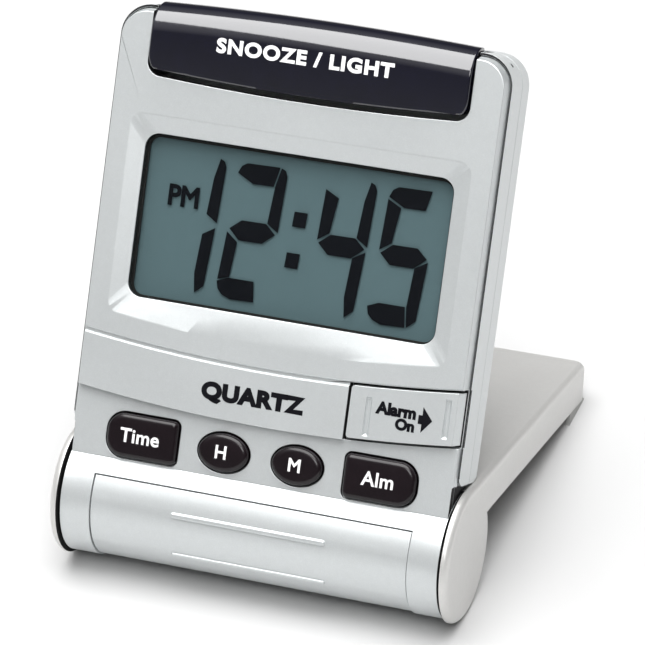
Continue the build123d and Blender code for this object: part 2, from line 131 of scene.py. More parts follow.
class Plan:
    """The node tree of one material."""

    def __init__(self, name: str) -> None:
        """Starts an empty material with an output."""
        self.material = bpy.data.materials.new(name)
        self.material.use_nodes = True
        self.tree = self.material.node_tree
        self.tree.nodes.clear()
        self.output = self.tree.nodes.new("ShaderNodeOutputMaterial")

    def node(self, kind: str, settings: Mapping | None = None,
             sockets: Mapping | None = None) -> bpy.types.Node:
        """Adds a node.

        Args:
            kind: Blender's name for the node type.
            settings: Properties set before the sockets; "stops" fills a ramp.
            sockets: Values, wires or sockets for the inputs, by name or number.

        Returns:
            The new node.
        """
        new = self.tree.nodes.new(kind)
        for key, value in (settings or {}).items():
            if key == "stops":
                ramp = new.color_ramp
                while len(ramp.elements) < len(value):
                    ramp.elements.new(0.5)
                for element, (place, tone) in zip(ramp.elements, value):
                    element.position = place
                    element.color = (*tone, 1.0) if len(tone) == 3 else tone
            else:
                setattr(new, key, value)
        for key, value in (sockets or {}).items():
            target = new.inputs[key]
            if isinstance(value, Wire):
                self.tree.links.new(value.socket, target)
            elif isinstance(value, bpy.types.NodeSocket):
                self.tree.links.new(value, target)
            elif isinstance(value, tuple) and len(value) == 3 and target.type == "RGBA":
                target.default_value = (*value, 1.0)
            else:
                target.default_value = value
        return new

    def wire(self, kind: str, settings: Mapping | None = None, sockets: Mapping | None = None,
             output: str | int = 0) -> Wire:
        """Adds a node and returns one of its outputs as a wire."""
        return Wire(self, self.node(kind, settings, sockets).outputs[output])

    def place(self, turn: float = 0.0, stretch: Sequence[float] = (1, 1, 1)) -> Wire:
        """Object coordinates, turned about x by an angle in degrees and stretched."""
        raw = self.wire("ShaderNodeTexCoord", output="Object")
        return self.wire("ShaderNodeMapping", None, {
            "Vector": raw, "Rotation": (math.radians(turn), 0, 0), "Scale": tuple(stretch)})

    def noise(self, place: Wire, scale: float, detail: float = 2.0, rough: float = 0.5) -> Wire:
        """Cloud noise from 0 to 1."""
        return self.wire("ShaderNodeTexNoise", None, {
            "Vector": place, "Scale": scale, "Detail": detail, "Roughness": rough})

    def cells(self, place: Wire, scale: float, output: str = "Color") -> Wire:
        """Cell noise, one value per grain."""
        return self.wire("ShaderNodeTexVoronoi", None, {"Vector": place, "Scale": scale}, output)

    def blend(self, amount: Wire | float, first: Wire | Colour, second: Wire | Colour,
              mode: str = "MIX") -> Wire:
        """Mix of two colours."""
        node = self.node("ShaderNodeMix", {"data_type": "RGBA", "blend_type": mode},
                         {0: amount, 6: first, 7: second})
        return Wire(self, node.outputs[2])

    def bump(self, height: Wire, strength: float, distance: float) -> Wire:
        """Bumped normal from a height."""
        return self.wire("ShaderNodeBump", None, {
            "Height": height, "Strength": strength, "Distance": distance}, "Normal")

    def finish(self, surface: bpy.types.NodeSocket) -> bpy.types.Material:
        """Joins the surface to the output."""
        self.tree.links.new(surface, self.output.inputs["Surface"])
        return self.material


class RoomPlan(Plan):
    """The node tree of the room's light."""

    def __init__(self, name: str) -> None:
        """Starts a room with its usual background."""
        self.world = bpy.data.worlds.new(name)
        self.world.use_nodes = True
        self.tree = self.world.node_tree

    def light(self, tone: Wire, strength: Wire) -> None:
        """Sets what the background sends out."""
        back = self.tree.nodes["Background"]
        self.tree.links.new(tone.socket, back.inputs[0])
        self.tree.links.new(strength.socket, back.inputs[1])


# ---------------- finishes
@dataclass(frozen=True)
class SilverPaint:
    """Metallic paint: fine aluminium flake under a satin skin, slightly clouded."""

    tone: Colour = (0.60, 0.625, 0.63)
    metal: float = 0.5
    roughness: float = 0.34
    flake: float = 0.16
    grain: float = 9000.0

    def material(self, name: str) -> bpy.types.Material:
        """Builds the paint."""
        plan = Plan(name)
        place = plan.place()
        flakes = plan.cells(place, self.grain, "Distance")
        cloud = plan.noise(place, 900.0, 3.0)
        handling = plan.noise(place, 45.0, 4.0, 0.6)
        shade = (flakes * self.flake + cloud * 0.06 + handling * 0.05 + 0.86).clamped(0.0, 1.15)
        tone = plan.blend(1.0, self.tone, self.grey(plan, shade), "MULTIPLY")
        rough = (flakes * 0.12 + handling * 0.10 + (self.roughness - 0.09)).clamped(0.05, 1.0)
        normal = plan.bump(flakes, 0.10, 0.00003)
        skin = plan.node("ShaderNodeBsdfPrincipled", None, {
            "Base Color": tone, "Metallic": self.metal, "Roughness": rough, "Normal": normal,
            "Coat Weight": 0.18, "Coat Roughness": 0.22, "IOR": 1.48})
        return plan.finish(skin.outputs[0])

    @staticmethod
    def grey(plan: Plan, value: Wire) -> Wire:
        """A value as a grey colour."""
        return plan.wire("ShaderNodeCombineColor", None, {0: value, 1: value, 2: value})


@dataclass(frozen=True)
class GlossPlastic:
    """Polished moulding with a faint orange peel, hairline handling marks and dust."""

    tone: Colour = (0.012, 0.012, 0.03)
    shadow: Colour = (0.004, 0.004, 0.012)
    roughness: float = 0.09
    peel: float = 0.05
    dust: float = 0.012
    sheen: float = 0.5
    coat: float = 0.35

    def material(self, name: str) -> bpy.types.Material:
        """Builds the plastic."""
        plan = Plan(name)
        place = plan.place()
        cloud = plan.noise(place, 260.0, 3.0)
        specks = plan.noise(place, 5200.0, 2.0, 0.7)
        dust = ((specks - 0.62) * 6.0).clamped(0.0, 1.0) * self.dust
        tone = plan.blend(cloud, self.shadow, self.tone)
        tone = plan.blend(dust, tone, (0.6, 0.6, 0.6))
        marks = plan.noise(plan.place(0, (1.0, 0.12, 0.12)), 3000.0, 3.0)
        rough = (marks * 0.05 + cloud * 0.05 + (self.roughness - 0.04)).clamped(0.02, 1.0)
        normal = plan.bump(plan.noise(place, 700.0, 1.0), self.peel, 0.0001)
        skin = plan.node("ShaderNodeBsdfPrincipled", None, {
            "Base Color": tone, "Roughness": rough, "Normal": normal, "IOR": 1.5,
            "Specular IOR Level": self.sheen, "Coat Weight": self.coat, "Coat Roughness": 0.06})
        return plan.finish(skin.outputs[0])


@dataclass(frozen=True)
class MattePlastic:
    """Plain moulded plastic, rubber or foam: clouded tone, fine texture in the surface."""

    tone: Colour = (0.5, 0.5, 0.5)
    dark: float = 0.8
    roughness: float = 0.6
    grain: float = 2600.0
    relief: float = 0.25

    def material(self, name: str) -> bpy.types.Material:
        """Builds the plastic."""
        plan = Plan(name)
        place = plan.place()
        cloud = plan.noise(place, 160.0, 4.0, 0.6)
        grain = plan.noise(place, self.grain, 2.0, 0.6)
        low = tuple(c * self.dark for c in self.tone)
        tone = plan.blend((cloud * 0.7 + grain * 0.3), low, self.tone)
        rough = (grain * 0.18 + (self.roughness - 0.09)).clamped(0.05, 1.0)
        skin = plan.node("ShaderNodeBsdfPrincipled", None, {
            "Base Color": tone, "Roughness": rough, "IOR": 1.46,
            "Normal": plan.bump(grain, self.relief, 0.00004)})
        return plan.finish(skin.outputs[0])


@dataclass(frozen=True)
class BareMetal:
    """Rolled or plated metal with drawn lines and light tarnish."""

    tone: Colour = (0.62, 0.61, 0.58)
    tarnish: Colour = (0.36, 0.34, 0.30)
    roughness: float = 0.28
    lines: float = 5200.0

    def material(self, name: str) -> bpy.types.Material:
        """Builds the metal."""
        plan = Plan(name)
        drawn = plan.noise(plan.place(0, (0.05, 1.0, 1.0)), self.lines, 2.0)
        patch = plan.noise(plan.place(), 420.0, 4.0, 0.6)
        tone = plan.blend(((patch - 0.45) * 2.2).clamped(0.0, 1.0) * 0.6, self.tone, self.tarnish)
        rough = (drawn * 0.22 + patch * 0.10 + (self.roughness - 0.14)).clamped(0.05, 1.0)
        skin = plan.node("ShaderNodeBsdfPrincipled", None, {
            "Base Color": tone, "Metallic": 1.0, "Roughness": rough,
            "Normal": plan.bump(drawn, 0.15, 0.00003)})
        return plan.finish(skin.outputs[0])


@dataclass(frozen=True)
class ClearSheet:
    """Clear moulded sheet: light passes straight through and the surface is glossy."""

    tint: Colour = (0.96, 0.98, 0.975)
    shine: float = 0.05
    roughness: float = 0.04

    def material(self, name: str) -> bpy.types.Material:
        """Builds the sheet."""
        plan = Plan(name)
        smear = plan.noise(plan.place(), 120.0, 4.0, 0.6)
        edge = plan.wire("ShaderNodeFresnel", None, {"IOR": 1.46})
        amount = (edge * 0.18 + smear * 0.003 + self.shine * 0.01).clamped(0.0, 1.0)
        through = plan.node("ShaderNodeBsdfTransparent", None, {"Color": self.tint})
        gloss = plan.node("ShaderNodeBsdfPrincipled", None, {
            "Base Color": (0.8, 0.82, 0.82), "Metallic": 1.0,
            "Roughness": (smear * 0.05 + self.roughness).clamped(0.02, 1.0)})
        mixed = plan.node("ShaderNodeMixShader", None, {
            0: amount, 1: through.outputs[0], 2: gloss.outputs[0]})
        return plan.finish(mixed.outputs[0])


@dataclass(frozen=True)
class DisplayGround:
    """Grey-green reflector of the display, seen through its polarising film."""

    tone: Colour = (0.092, 0.140, 0.156)
    low: Colour = (0.070, 0.112, 0.126)
    roughness: float = 0.5

    def material(self, name: str) -> bpy.types.Material:
        """Builds the film."""
        plan = Plan(name)
        place = plan.place()
        mottle = plan.noise(place, 1400.0, 3.0, 0.65)
        cloud = plan.noise(place, 55.0, 2.0)
        tone = plan.blend((mottle * 0.45 + cloud * 0.55).clamped(0.0, 1.0), self.low, self.tone)
        rough = (mottle * 0.15 + self.roughness - 0.05).clamped(0.1, 1.0)
        skin = plan.node("ShaderNodeBsdfPrincipled", None, {
            "Base Color": tone, "Roughness": rough, "Specular IOR Level": 0.4,
            "Metallic": 0.0, "Normal": plan.bump(mottle, 0.05, 0.00003)})
        return plan.finish(skin.outputs[0])


@dataclass(frozen=True)
class Ink:
    """Printed or switched-on ink with slightly uneven cover."""

    tone: Colour = (0.85, 0.85, 0.85)
    roughness: float = 0.4
    uneven: float = 0.12

    def material(self, name: str) -> bpy.types.Material:
        """Builds the ink."""
        plan = Plan(name)
        cover = plan.noise(plan.place(), 3800.0, 2.0, 0.6)
        low = tuple(c * (1 - self.uneven) for c in self.tone)
        tone = plan.blend(cover, low, self.tone)
        skin = plan.node("ShaderNodeBsdfPrincipled", None, {
            "Base Color": tone, "Roughness": (cover * 0.1 + self.roughness).clamped(0.05, 1.0),
            "Specular IOR Level": 0.15})
        return plan.finish(skin.outputs[0])


FINISHES = {
    "silver_plastic": SilverPaint(),
    "silver_cover": SilverPaint(tone=(0.66, 0.655, 0.64), roughness=0.38, flake=0.12),
    "navy_gloss": GlossPlastic(tone=(0.004, 0.004, 0.013), shadow=(0.002, 0.002, 0.006),
                               sheen=0.8, coat=0.8),
    "key_gloss": GlossPlastic(tone=(0.010, 0.006, 0.008), shadow=(0.006, 0.004, 0.005),
                              roughness=0.20, sheen=0.35, coat=0.05),
    "clear_window": ClearSheet(),
    "black_print": MattePlastic(tone=(0.003, 0.002, 0.002), roughness=0.6),
    "white_plastic": MattePlastic(tone=(0.82, 0.82, 0.79), roughness=0.5),
    "board": MattePlastic(tone=(0.03, 0.16, 0.07), roughness=0.35, relief=0.1),
    "epoxy": GlossPlastic(tone=(0.015, 0.015, 0.015), roughness=0.2),
    "steel": BareMetal(),
    "brass_disc": BareMetal(tone=(0.72, 0.52, 0.22), tarnish=(0.4, 0.27, 0.12)),
    "nickel": BareMetal(tone=(0.68, 0.66, 0.61), roughness=0.2),
    "ceramic": MattePlastic(tone=(0.6, 0.48, 0.33), roughness=0.5),
    "grey_rubber": MattePlastic(tone=(0.45, 0.45, 0.44), roughness=0.75),
    "foam": MattePlastic(tone=(0.72, 0.48, 0.34), roughness=0.9, relief=0.6),
    "cell_sleeve": GlossPlastic(tone=(0.05, 0.06, 0.075), shadow=(0.03, 0.035, 0.045)),
    "led_body": GlossPlastic(tone=(0.7, 0.75, 0.78), shadow=(0.6, 0.66, 0.7)),
    "white_ink": Ink(tone=(0.9, 0.9, 0.9)),
    "black_ink": Ink(tone=(0.003, 0.003, 0.005)),
    "segment_ink": Ink(tone=(0.0012, 0.0016, 0.004), roughness=0.4),
    "display_ground": DisplayGround(),
    # Near-black painted shade for faces inside openings and gaps, standing in for the shade that fills them.
    "painted_gap_shade": MattePlastic(tone=(0.004, 0.004, 0.005), roughness=0.75),
}


class PaintShop:
    """Makes each finish once and puts it on pieces."""

    def __init__(self) -> None:
        """Starts with no material made."""
        self.made: dict[str, bpy.types.Material] = {}

    def get(self, name: str) -> bpy.types.Material:
        """The material of a finish."""
        if name not in self.made:
            self.made[name] = FINISHES[name].material(name)
        return self.made[name]

    def coat(self, obj: bpy.types.Object, name: str) -> None:
        """Puts one finish all over a piece."""
        obj.data.materials.clear()
        obj.data.materials.append(self.get(name))


# ---------------- modelling bench
def clear_selection() -> None:
    """Leaves nothing selected and no active object."""
    if bpy.context.object and bpy.context.object.mode != "OBJECT":
        bpy.ops.object.mode_set(mode="OBJECT")
    bpy.ops.object.select_all(action="DESELECT")


def pick_only(obj: bpy.types.Object) -> None:
    """Leaves one object selected and active."""
    clear_selection()
    bpy.context.view_layer.objects.active = obj
    obj.select_set(True)


class Work:
    """One mesh piece on the bench, in a local frame in millimetres."""

    def __init__(self, obj: bpy.types.Object) -> None:
        """Takes over a mesh object."""
        self.obj = obj

    # ---- starts
    @classmethod
    def sized(cls, name: str, size: Sequence[float]) -> "Work":
        """Takes over the primitive just added, at its full size."""
        obj = bpy.context.object
        obj.scale = size
        bpy.ops.object.transform_apply(location=True, rotation=True, scale=True)
        obj.name = name
        return cls(obj)

    @classmethod
    def slab(cls, name: str, low: Sequence[float], high: Sequence[float]) -> "Work":
        """Starts from a box between two corners."""
        clear_selection()
        middle = [(a + b) / 2 for a, b in zip(low, high)]
        bpy.ops.mesh.primitive_cube_add(size=1.0, location=middle)
        return cls.sized(name, [b - a for a, b in zip(low, high)])

    @classmethod
    def sheet(cls, name: str, low: Point, high: Point, z: float) -> "Work":
        """Starts from a flat rectangle at a height."""
        clear_selection()
        middle = ((low[0] + high[0]) / 2, (low[1] + high[1]) / 2, z)
        bpy.ops.mesh.primitive_plane_add(size=1.0, location=middle)
        return cls.sized(name, (high[0] - low[0], high[1] - low[1], 1.0))

    @classmethod
    def disc(cls, name: str, middle: Sequence[float], half_x: float, half_y: float,
             sides: int = 96) -> "Work":
        """Starts from a filled ellipse."""
        clear_selection()
        bpy.ops.mesh.primitive_circle_add(vertices=sides, radius=1.0, fill_type="NGON",
                                          location=middle)
        return cls.sized(name, (half_x, half_y, 1.0))

    @classmethod
    def copy_of(cls, node: str, local: Local) -> "Work":
        """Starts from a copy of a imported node, merged and brought to a local frame."""
        clear_selection()
        mesh = frame["nodes"][node].data.copy()
        mesh.transform(local.matrix.inverted())
        obj = bpy.data.objects.new(node + "_moulding", mesh)
        bpy.context.scene.collection.objects.link(obj)
        work = cls(obj)
        if mesh.has_custom_normals:
            with bpy.context.temp_override(object=obj, active_object=obj):
                bpy.context.view_layer.objects.active = obj
                obj.select_set(True)
                bpy.ops.mesh.customdata_custom_splitnormals_clear()
        with work.editing():
            bpy.ops.mesh.select_all(action="SELECT")
            bpy.ops.mesh.remove_doubles(threshold=0.0005)
        return work

    @classmethod
    def outlines(cls, name: str, shapes: Iterable[Sequence[Point]], z: float) -> "Work":
        """Starts from flat faces given by their corners."""
        mesh = bpy.data.meshes.new(name)
        flat = bmesh.new()
        for shape in shapes:
            face = flat.faces.new([flat.verts.new((x, y, z)) for x, y in shape])
            face.normal_update()
            if face.normal.z < 0:
                face.normal_flip()
        flat.to_mesh(mesh)
        flat.free()
        obj = bpy.data.objects.new(name, mesh)
        bpy.context.scene.collection.objects.link(obj)
        return cls(obj)

    # ---- selection
    def editing(self) -> "EditMode":
        """Edit mode on this piece."""
        return EditMode(self.obj)

    def pick(self, kind: str, test: Callable[[object], bool]) -> int:
        """Selects the parts of the mesh that pass a test, in edit mode.

        Args:
            kind: "FACE", "EDGE" or "VERT".
            test: Takes one face, edge or point.

        Returns:
            How many were selected.
        """
        bpy.ops.mesh.select_mode(type=kind)
        bpy.ops.mesh.select_all(action="DESELECT")
        edit = bmesh.from_edit_mesh(self.obj.data)
        parts = {"FACE": edit.faces, "EDGE": edit.edges, "VERT": edit.verts}[kind]
        chosen = [part for part in parts if test(part)]
        for part in chosen:
            part.select_set(True)
        edit.select_flush_mode()
        bmesh.update_edit_mesh(self.obj.data)
        return len(chosen)

    # ---- shaping
    def round_corners(self, test: Callable[[bmesh.types.BMVert], bool], radius: float,
                      steps: int = 10) -> "Work":
        """Rounds corner points of a flat sheet."""
        with self.editing():
            if self.pick("VERT", test):
                bpy.ops.mesh.bevel(offset=radius, offset_type="OFFSET", segments=steps,
                                   affect="VERTICES", clamp_overlap=False)
        return self

    def raise_sheet(self, height: float) -> "Work":
        """Makes a flat sheet solid by lifting its face."""
        with self.editing():
            bpy.ops.mesh.select_all(action="SELECT")
            bpy.ops.mesh.extrude_region_move(TRANSFORM_OT_translate={"value": (0, 0, height)})
            bpy.ops.mesh.select_all(action="SELECT")
            bpy.ops.mesh.normals_make_consistent(inside=False)
        return self

    def round_top(self, radius: float, steps: int = 4) -> "Work":
        """Rounds the edges round the highest flat face."""
        top = max(v.co.z for v in self.obj.data.vertices)
        with self.editing():
            self.pick("EDGE", lambda e: all(abs(v.co.z - top) < 1e-4 for v in e.verts)
                            and any(abs(f.normal.z) < 0.5 for f in e.link_faces))
            bpy.ops.mesh.bevel(offset=radius, segments=steps, profile=0.5, clamp_overlap=False)
        return self

    def crown(self, rise: float, rings: int = 6) -> "Work":
        """Domes the highest flat face with shrinking insets."""
        top = max(v.co.z for v in self.obj.data.vertices)
        with self.editing():
            self.pick("FACE", lambda f: f.normal.z > 0.99
                            and abs(f.calc_center_median().z - top) < 1e-3)
            for ring in range(rings):
                before, after = 1 - ring / (rings + 1), 1 - (ring + 1) / (rings + 1)
                lift = rise * (before ** 2 - after ** 2)
                bpy.ops.mesh.extrude_region_move(TRANSFORM_OT_translate={"value": (0, 0, lift)})
                bpy.ops.transform.resize(value=(after / before, after / before, 1.0))
        return self

    def cut(self, *tools: "Work", operation: str = "DIFFERENCE") -> "Work":
        """Boolean with other pieces, which are used up."""
        for tool in tools:
            modifier = self.obj.modifiers.new("cut", "BOOLEAN")
            modifier.operation = operation
            modifier.solver = "EXACT"
            modifier.object = tool.obj
            self._apply(modifier)
            bpy.data.objects.remove(tool.obj)
        return self

    def bevelled(self, width: float, steps: int = 3, angle: float = 13.0) -> "Work":
        """Rounds every sharp edge a little, as a mould does."""
        modifier = self.obj.modifiers.new("edges", "BEVEL")
        modifier.width = width
        modifier.segments = steps
        modifier.limit_method = "ANGLE"
        modifier.angle_limit = math.radians(angle)
        modifier.use_clamp_overlap = False
        modifier.miter_outer = "MITER_ARC"
        self._apply(modifier)
        return self

    def _apply(self, modifier: bpy.types.Modifier) -> None:
        """Applies one modifier."""
        pick_only(self.obj)
        bpy.ops.object.modifier_apply(modifier=modifier.name)

    def simplified(self, angle: float = 0.6) -> "Work":
        """Joins flat triangles into whole faces."""
        with self.editing():
            bpy.ops.mesh.select_all(action="SELECT")
            bpy.ops.mesh.dissolve_limited(angle_limit=math.radians(angle), delimit=set())
        return self

    def smooth(self, angle: float = 40.0) -> "Work":
        """Smooth shading except at sharp edges."""
        pick_only(self.obj)
        bpy.ops.object.shade_smooth_by_angle(angle=math.radians(angle))
        modifier = self.obj.modifiers.new("shading", "WEIGHTED_NORMAL")
        modifier.keep_sharp = True
        modifier.weight = 80
        self._apply(modifier)
        return self

    def drop_on(self, base: "Work", lift: float) -> "Work":
        """Wraps the lower side of a thin print on the top of another piece, a little above it."""
        with self.editing():
            self.pick("FACE", lambda f: f.normal.z < 0.5)
            bpy.ops.mesh.delete(type="FACE")
            bpy.ops.mesh.select_all(action="SELECT")
            bpy.ops.mesh.quads_convert_to_tris()
            bpy.ops.mesh.subdivide(number_cuts=2)
        modifier = self.obj.modifiers.new("wrap", "SHRINKWRAP")
        modifier.target = base.obj
        modifier.wrap_method = "PROJECT"
        modifier.use_project_z = True
        modifier.use_negative_direction = True
        modifier.use_positive_direction = False
        modifier.offset = lift
        self._apply(modifier)
        return self

    def faces(self, test: Callable[[Vector, Vector], bool]) -> list[int]:
        """Numbers of the faces whose middle and normal pass a test."""
        return [p.index for p in self.obj.data.polygons if test(p.center, p.normal)]

    def spot(self, faces: Iterable[int], finish: str, shop: PaintShop) -> None:
        """Gives some faces a second finish."""
        self.obj.data.materials.append(shop.get(finish))
        last = len(self.obj.data.materials) - 1
        for index in faces:
            self.obj.data.polygons[index].material_index = last

    def fattened(self, width: float) -> "Work":
        """Moves the upright walls of a thin solid outwards, which makes a print bolder."""
        with self.editing():
            edit = bmesh.from_edit_mesh(self.obj.data)
            edit.normal_update()
            for vert in edit.verts:
                walls = [f.normal for f in vert.link_faces if abs(f.normal.z) < 0.5]
                out = sum(walls, Vector()).normalized() if walls else Vector()
                reach = min(1.0 / max(out.dot(walls[0]), 0.4), 1.8) if walls else 0.0
                vert.co += out * width * reach
            bmesh.update_edit_mesh(self.obj.data)
        return self

    # ---- hand over
    def done(self, name: str, body: Body, slot: str, shop: PaintShop,
             stands_for: Iterable[str] = (), finish: str = "",
             local: Local = Local.CLOCK) -> bpy.types.Object:
        """Places the piece, dresses it and fixes it to its body.

        Args:
            name: Name of the piece.
            body: Body that it moves with.
            slot: The record's material slot.
            shop: Where the finish comes from.
            stands_for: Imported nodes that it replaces.
            finish: Name of its finish, when it is not the slot's own.
            local: Frame that it was modelled in.

        Returns:
            The finished object.
        """
        obj = self.obj
        obj.name = name
        obj.data.name = name
        obj.data.transform(local.matrix)
        shop.coat(obj, finish or slot)
        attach(obj, body.value)
        for node in stands_for:
            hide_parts(node)
        LOG.info("%s on %s: %d faces, %s", name, body.value, len(obj.data.polygons),
                 finish or slot)
        return obj


class EditMode:
    """Edit mode on one object, left again at the end of the block."""

    def __init__(self, obj: bpy.types.Object) -> None:
        """Remembers the object."""
        self.obj = obj

    def __enter__(self) -> None:
        """Enters edit mode with only this object active."""
        pick_only(self.obj)
        bpy.ops.object.mode_set(mode="EDIT")

    def __exit__(self, *error: object) -> None:
        """Leaves edit mode."""
        bpy.ops.object.mode_set(mode="OBJECT")


# ---------------- lettering
@dataclass(frozen=True)
class Lettering:
    """Printed words, as thin raised ink."""

    text: str
    height: float
    middle: Point
    z: float
    weight: float = 0.0
    width: float = 1.0
    gap: float = 1.0
    thickness: float = 0.04

    def build(self, name: str) -> Work:
        """Models the words as a thin solid, centred at their place."""
        clear_selection()
        bpy.ops.object.text_add()
        obj = bpy.context.object
        words = obj.data
        words.body = self.text
        words.size = self.height * 1.37
        words.space_character = self.gap
        words.resolution_u = 6
        bpy.ops.object.convert(target="MESH")
        obj = bpy.context.object
        xs = [v.co.x for v in obj.data.vertices]
        ys = [v.co.y for v in obj.data.vertices]
        middle = Vector(((min(xs) + max(xs)) / 2, (min(ys) + max(ys)) / 2, 0))
        fit = self.height / (max(ys) - min(ys))
        place = Matrix.Translation((*self.middle, self.z)) @ Matrix.Diagonal(
            (fit * self.width, fit, 1, 1)) @ Matrix.Translation(-middle)
        obj.data.transform(place)
        obj.name = name
        work = Work(obj)
        with work.editing():
            bpy.ops.mesh.select_all(action="SELECT")
            bpy.ops.mesh.remove_doubles(threshold=0.0005)
        return work.raise_sheet(self.thickness).fattened(self.weight * self.height)


# ---------------- sub-assemblies
@dataclass
class Casing:
    """Silver shells of the clock and the battery door.

    Faces inside openings and in the gaps beside the cheeks get a near-black finish as painted shade.
    """

    edge: float = 0.17
    seam: float = 0.10
    soft_angle: float = 13.0
    sharp_angle: float = 35.0
    # Upward faces inside openings lower than this get painted shade.
    shade_below_z: float = 8.9
    window: tuple[float, float, float] = (29.2, 37.0, 67.0)
    key_band: tuple[float, float, float] = (30.2, 7.4, 16.9)
    bay_low: float = 75.7
    bay_half: float = 30.5
    slide_left: float = 14.6
    slide_band: Point = (17.0, 31.0)
    neck_sides: Point = (34.0, 36.2)
    neck_top: float = 15.6
    side_x: float = 35.7
    # These shells get painted shade only on their sides beside the cheeks.
    gap_shade_only: tuple[str, str] = ("rear_case", "battery_door")

    def build(self, shop: PaintShop) -> None:
        """Rounds the edges of the shells and dresses them."""
        shells = (("fascia", Body.CLOCK, self.edge, self.soft_angle),
                  ("front_case", Body.CLOCK, self.seam, self.sharp_angle),
                  ("rear_case", Body.CLOCK, self.seam, self.sharp_angle),
                  ("battery_door", Body.DOOR, self.seam, self.sharp_angle))
        for node, body, width, angle in shells:
            work = Work.copy_of(node, Local.CLOCK)
            if node != "rear_case":
                work.simplified()
            work.bevelled(width, angle=angle).smooth()
            # Faces inside openings and gaps get a near-black painted shade.
            dark = work.faces(self.gap_side if node in self.gap_shade_only else self.all_painted_shade)
            work.done(node + "_shell", body, "silver_plastic", shop, [node])
            work.spot(dark, "painted_gap_shade", shop)

    def all_painted_shade(self, middle: Vector, normal: Vector) -> bool:
        """True for every face that gets painted shade."""
        return self.opening_shade(middle, normal) or self.gap_side(middle, normal)

    def gap_side(self, middle: Vector, normal: Vector) -> bool:
        """True for the neck's side walls and the barrel's ends, hidden beside the cheeks, which get painted shade.
        """
        low, high = self.neck_sides
        return abs(normal.x) > 0.7 and low < abs(middle.x) < high and middle.y < self.neck_top

    def opening_shade(self, middle: Vector, normal: Vector) -> bool:
        """True for faces inside an opening, which get painted shade."""
        x, y, z = abs(middle.x), middle.y, middle.z
        if normal.z > 0.9:
            return z < self.shade_below_z and y > self.key_band[1]
        if abs(normal.z) > 0.3:
            return False
        in_window = x < self.window[0] and self.window[1] < y < self.window[2]
        in_keys = x < self.key_band[0] and self.key_band[1] < y < self.key_band[2]
        in_bay = x < self.bay_half and y > self.bay_low
        in_slide = middle.x > self.slide_left and self.slide_band[0] < y < self.slide_band[1]
        at_side = x > self.side_x
        return in_window or in_keys or in_bay or (in_slide and not at_side)


@dataclass
class Digit:
    """Seven-segment figure drawn about its own centre, in millimetres."""

    lean: float = 0.065
    bars: Mapping[str, Sequence[Point]] = field(default_factory=lambda: {
        "a": ((-4.7, 10.3), (-4.2, 11.6), (-3.2, 12.25), (3.0, 12.35), (2.4, 8.8), (-1.5, 8.7)),
        "b": ((3.25, 12.3), (4.1, 11.9), (4.6, 10.9), (4.75, 0.75), (2.5, 2.1), (2.65, 8.7)),
        "c": ((4.65, -0.15), (4.5, -10.8), (2.95, -12.2), (2.3, -8.6), (2.4, -1.55)),
        "d": ((-4.85, -9.4), (-2.8, -8.55), (2.05, -8.55), (2.7, -12.2), (-1.8, -12.35),
              (-3.5, -11.7), (-4.4, -10.8)),
        "e": ((-4.65, -0.35), (-2.4, -2.05), (-2.65, -8.4), (-4.8, -9.1)),
        "f": ((-4.75, 9.9), (-2.1, 8.6), (-2.6, 2.2), (-4.65, 0.75)),
        "g": ((-4.35, 0.25), (-2.3, 2.0), (2.3, 2.05), (4.35, 0.3), (2.15, -1.6), (-2.2, -1.65)),
    })
    lit: Mapping[str, str] = field(default_factory=lambda: {
        "1": "bc", "2": "abged", "4": "fgbc", "5": "afgcd"})

    def outlines(self, figure: str, middle: Point) -> list[list[Point]]:
        """Outlines of the lit bars of one figure, leaning, at its place."""
        return [[(middle[0] + x + self.lean * y, middle[1] + y) for x, y in self.bars[bar]]
                for bar in self.lit[figure]]


@dataclass
class Display:
    """Liquid-crystal display behind its window."""

    half: float = 29.7
    low: float = 36.7
    high: float = 69.1
    front_plate: Point = (6.25, 6.85)
    rear_plate: Point = (5.2, 6.2)
    rear_step: float = 2.0
    plate_edge: float = 0.12
    ink_z: float = 7.18
    ink: float = 0.03
    middle: float = 51.6
    centres: Mapping[str, float] = field(default_factory=lambda: {
        "1": -19.25, "2": -7.65, "4": 9.2, "5": 20.85})
    colon: tuple[float, float, float, float] = (0.72, 3.7, 1.25, 1.35)

    def build(self, shop: PaintShop) -> None:
        """Models the plates, the lit segments and the window."""
        self.plates(shop)
        self.segments(shop)
        self.window(shop)

    def plates(self, shop: PaintShop) -> None:
        """Front plate with its reflector, and the rear plate behind it."""
        plates = (("front", self.front_plate, self.high),
                  ("rear", self.rear_plate, self.high - self.rear_step))
        for side, (back, face), high in plates:
            work = Work.slab(side, (-self.half, self.low, back), (self.half, high, face))
            work.bevelled(self.plate_edge, 2).smooth()
            work.done(f"display_{side}_plate", Body.CLOCK, "lcd_glass", shop,
                      [f"lcd_{side}_glass"], "display_ground")

    def segments(self, shop: PaintShop) -> None:
        """Lit bars of the time, the colon and the afternoon mark."""
        digit = Digit()
        outlines = [line for figure, x in self.centres.items()
                    for line in digit.outlines(figure, (x, self.middle))]
        x, rise, half_x, half_y = self.colon
        for side in (1, -1):
            cx, cy = x + digit.lean * rise * side, self.middle + rise * side
            outlines.append([(cx + a * half_x + digit.lean * b * half_y, cy + b * half_y)
                             for a, b in ((-1, 1), (1, 1), (1, -1), (-1, -1))])
        work = Work.outlines("segments", outlines, self.ink_z).raise_sheet(self.ink)
        work.done("display_segments", Body.CLOCK, "lcd_glass", shop, finish="segment_ink")
        mark = Lettering("PM", 3.55, (-21.3, 56.2), self.ink_z, weight=0.045, width=0.93,
                         gap=0.98, thickness=self.ink).build("mark")
        mark.done("display_afternoon_mark", Body.CLOCK, "lcd_glass", shop, finish="segment_ink")

    def window(self, shop: PaintShop) -> None:
        """Clear window with polished edges."""
        work = Work.copy_of("lens", Local.CLOCK).simplified().smooth()
        work.done("window_pane", Body.CLOCK, "clear_window", shop, ["lens"])


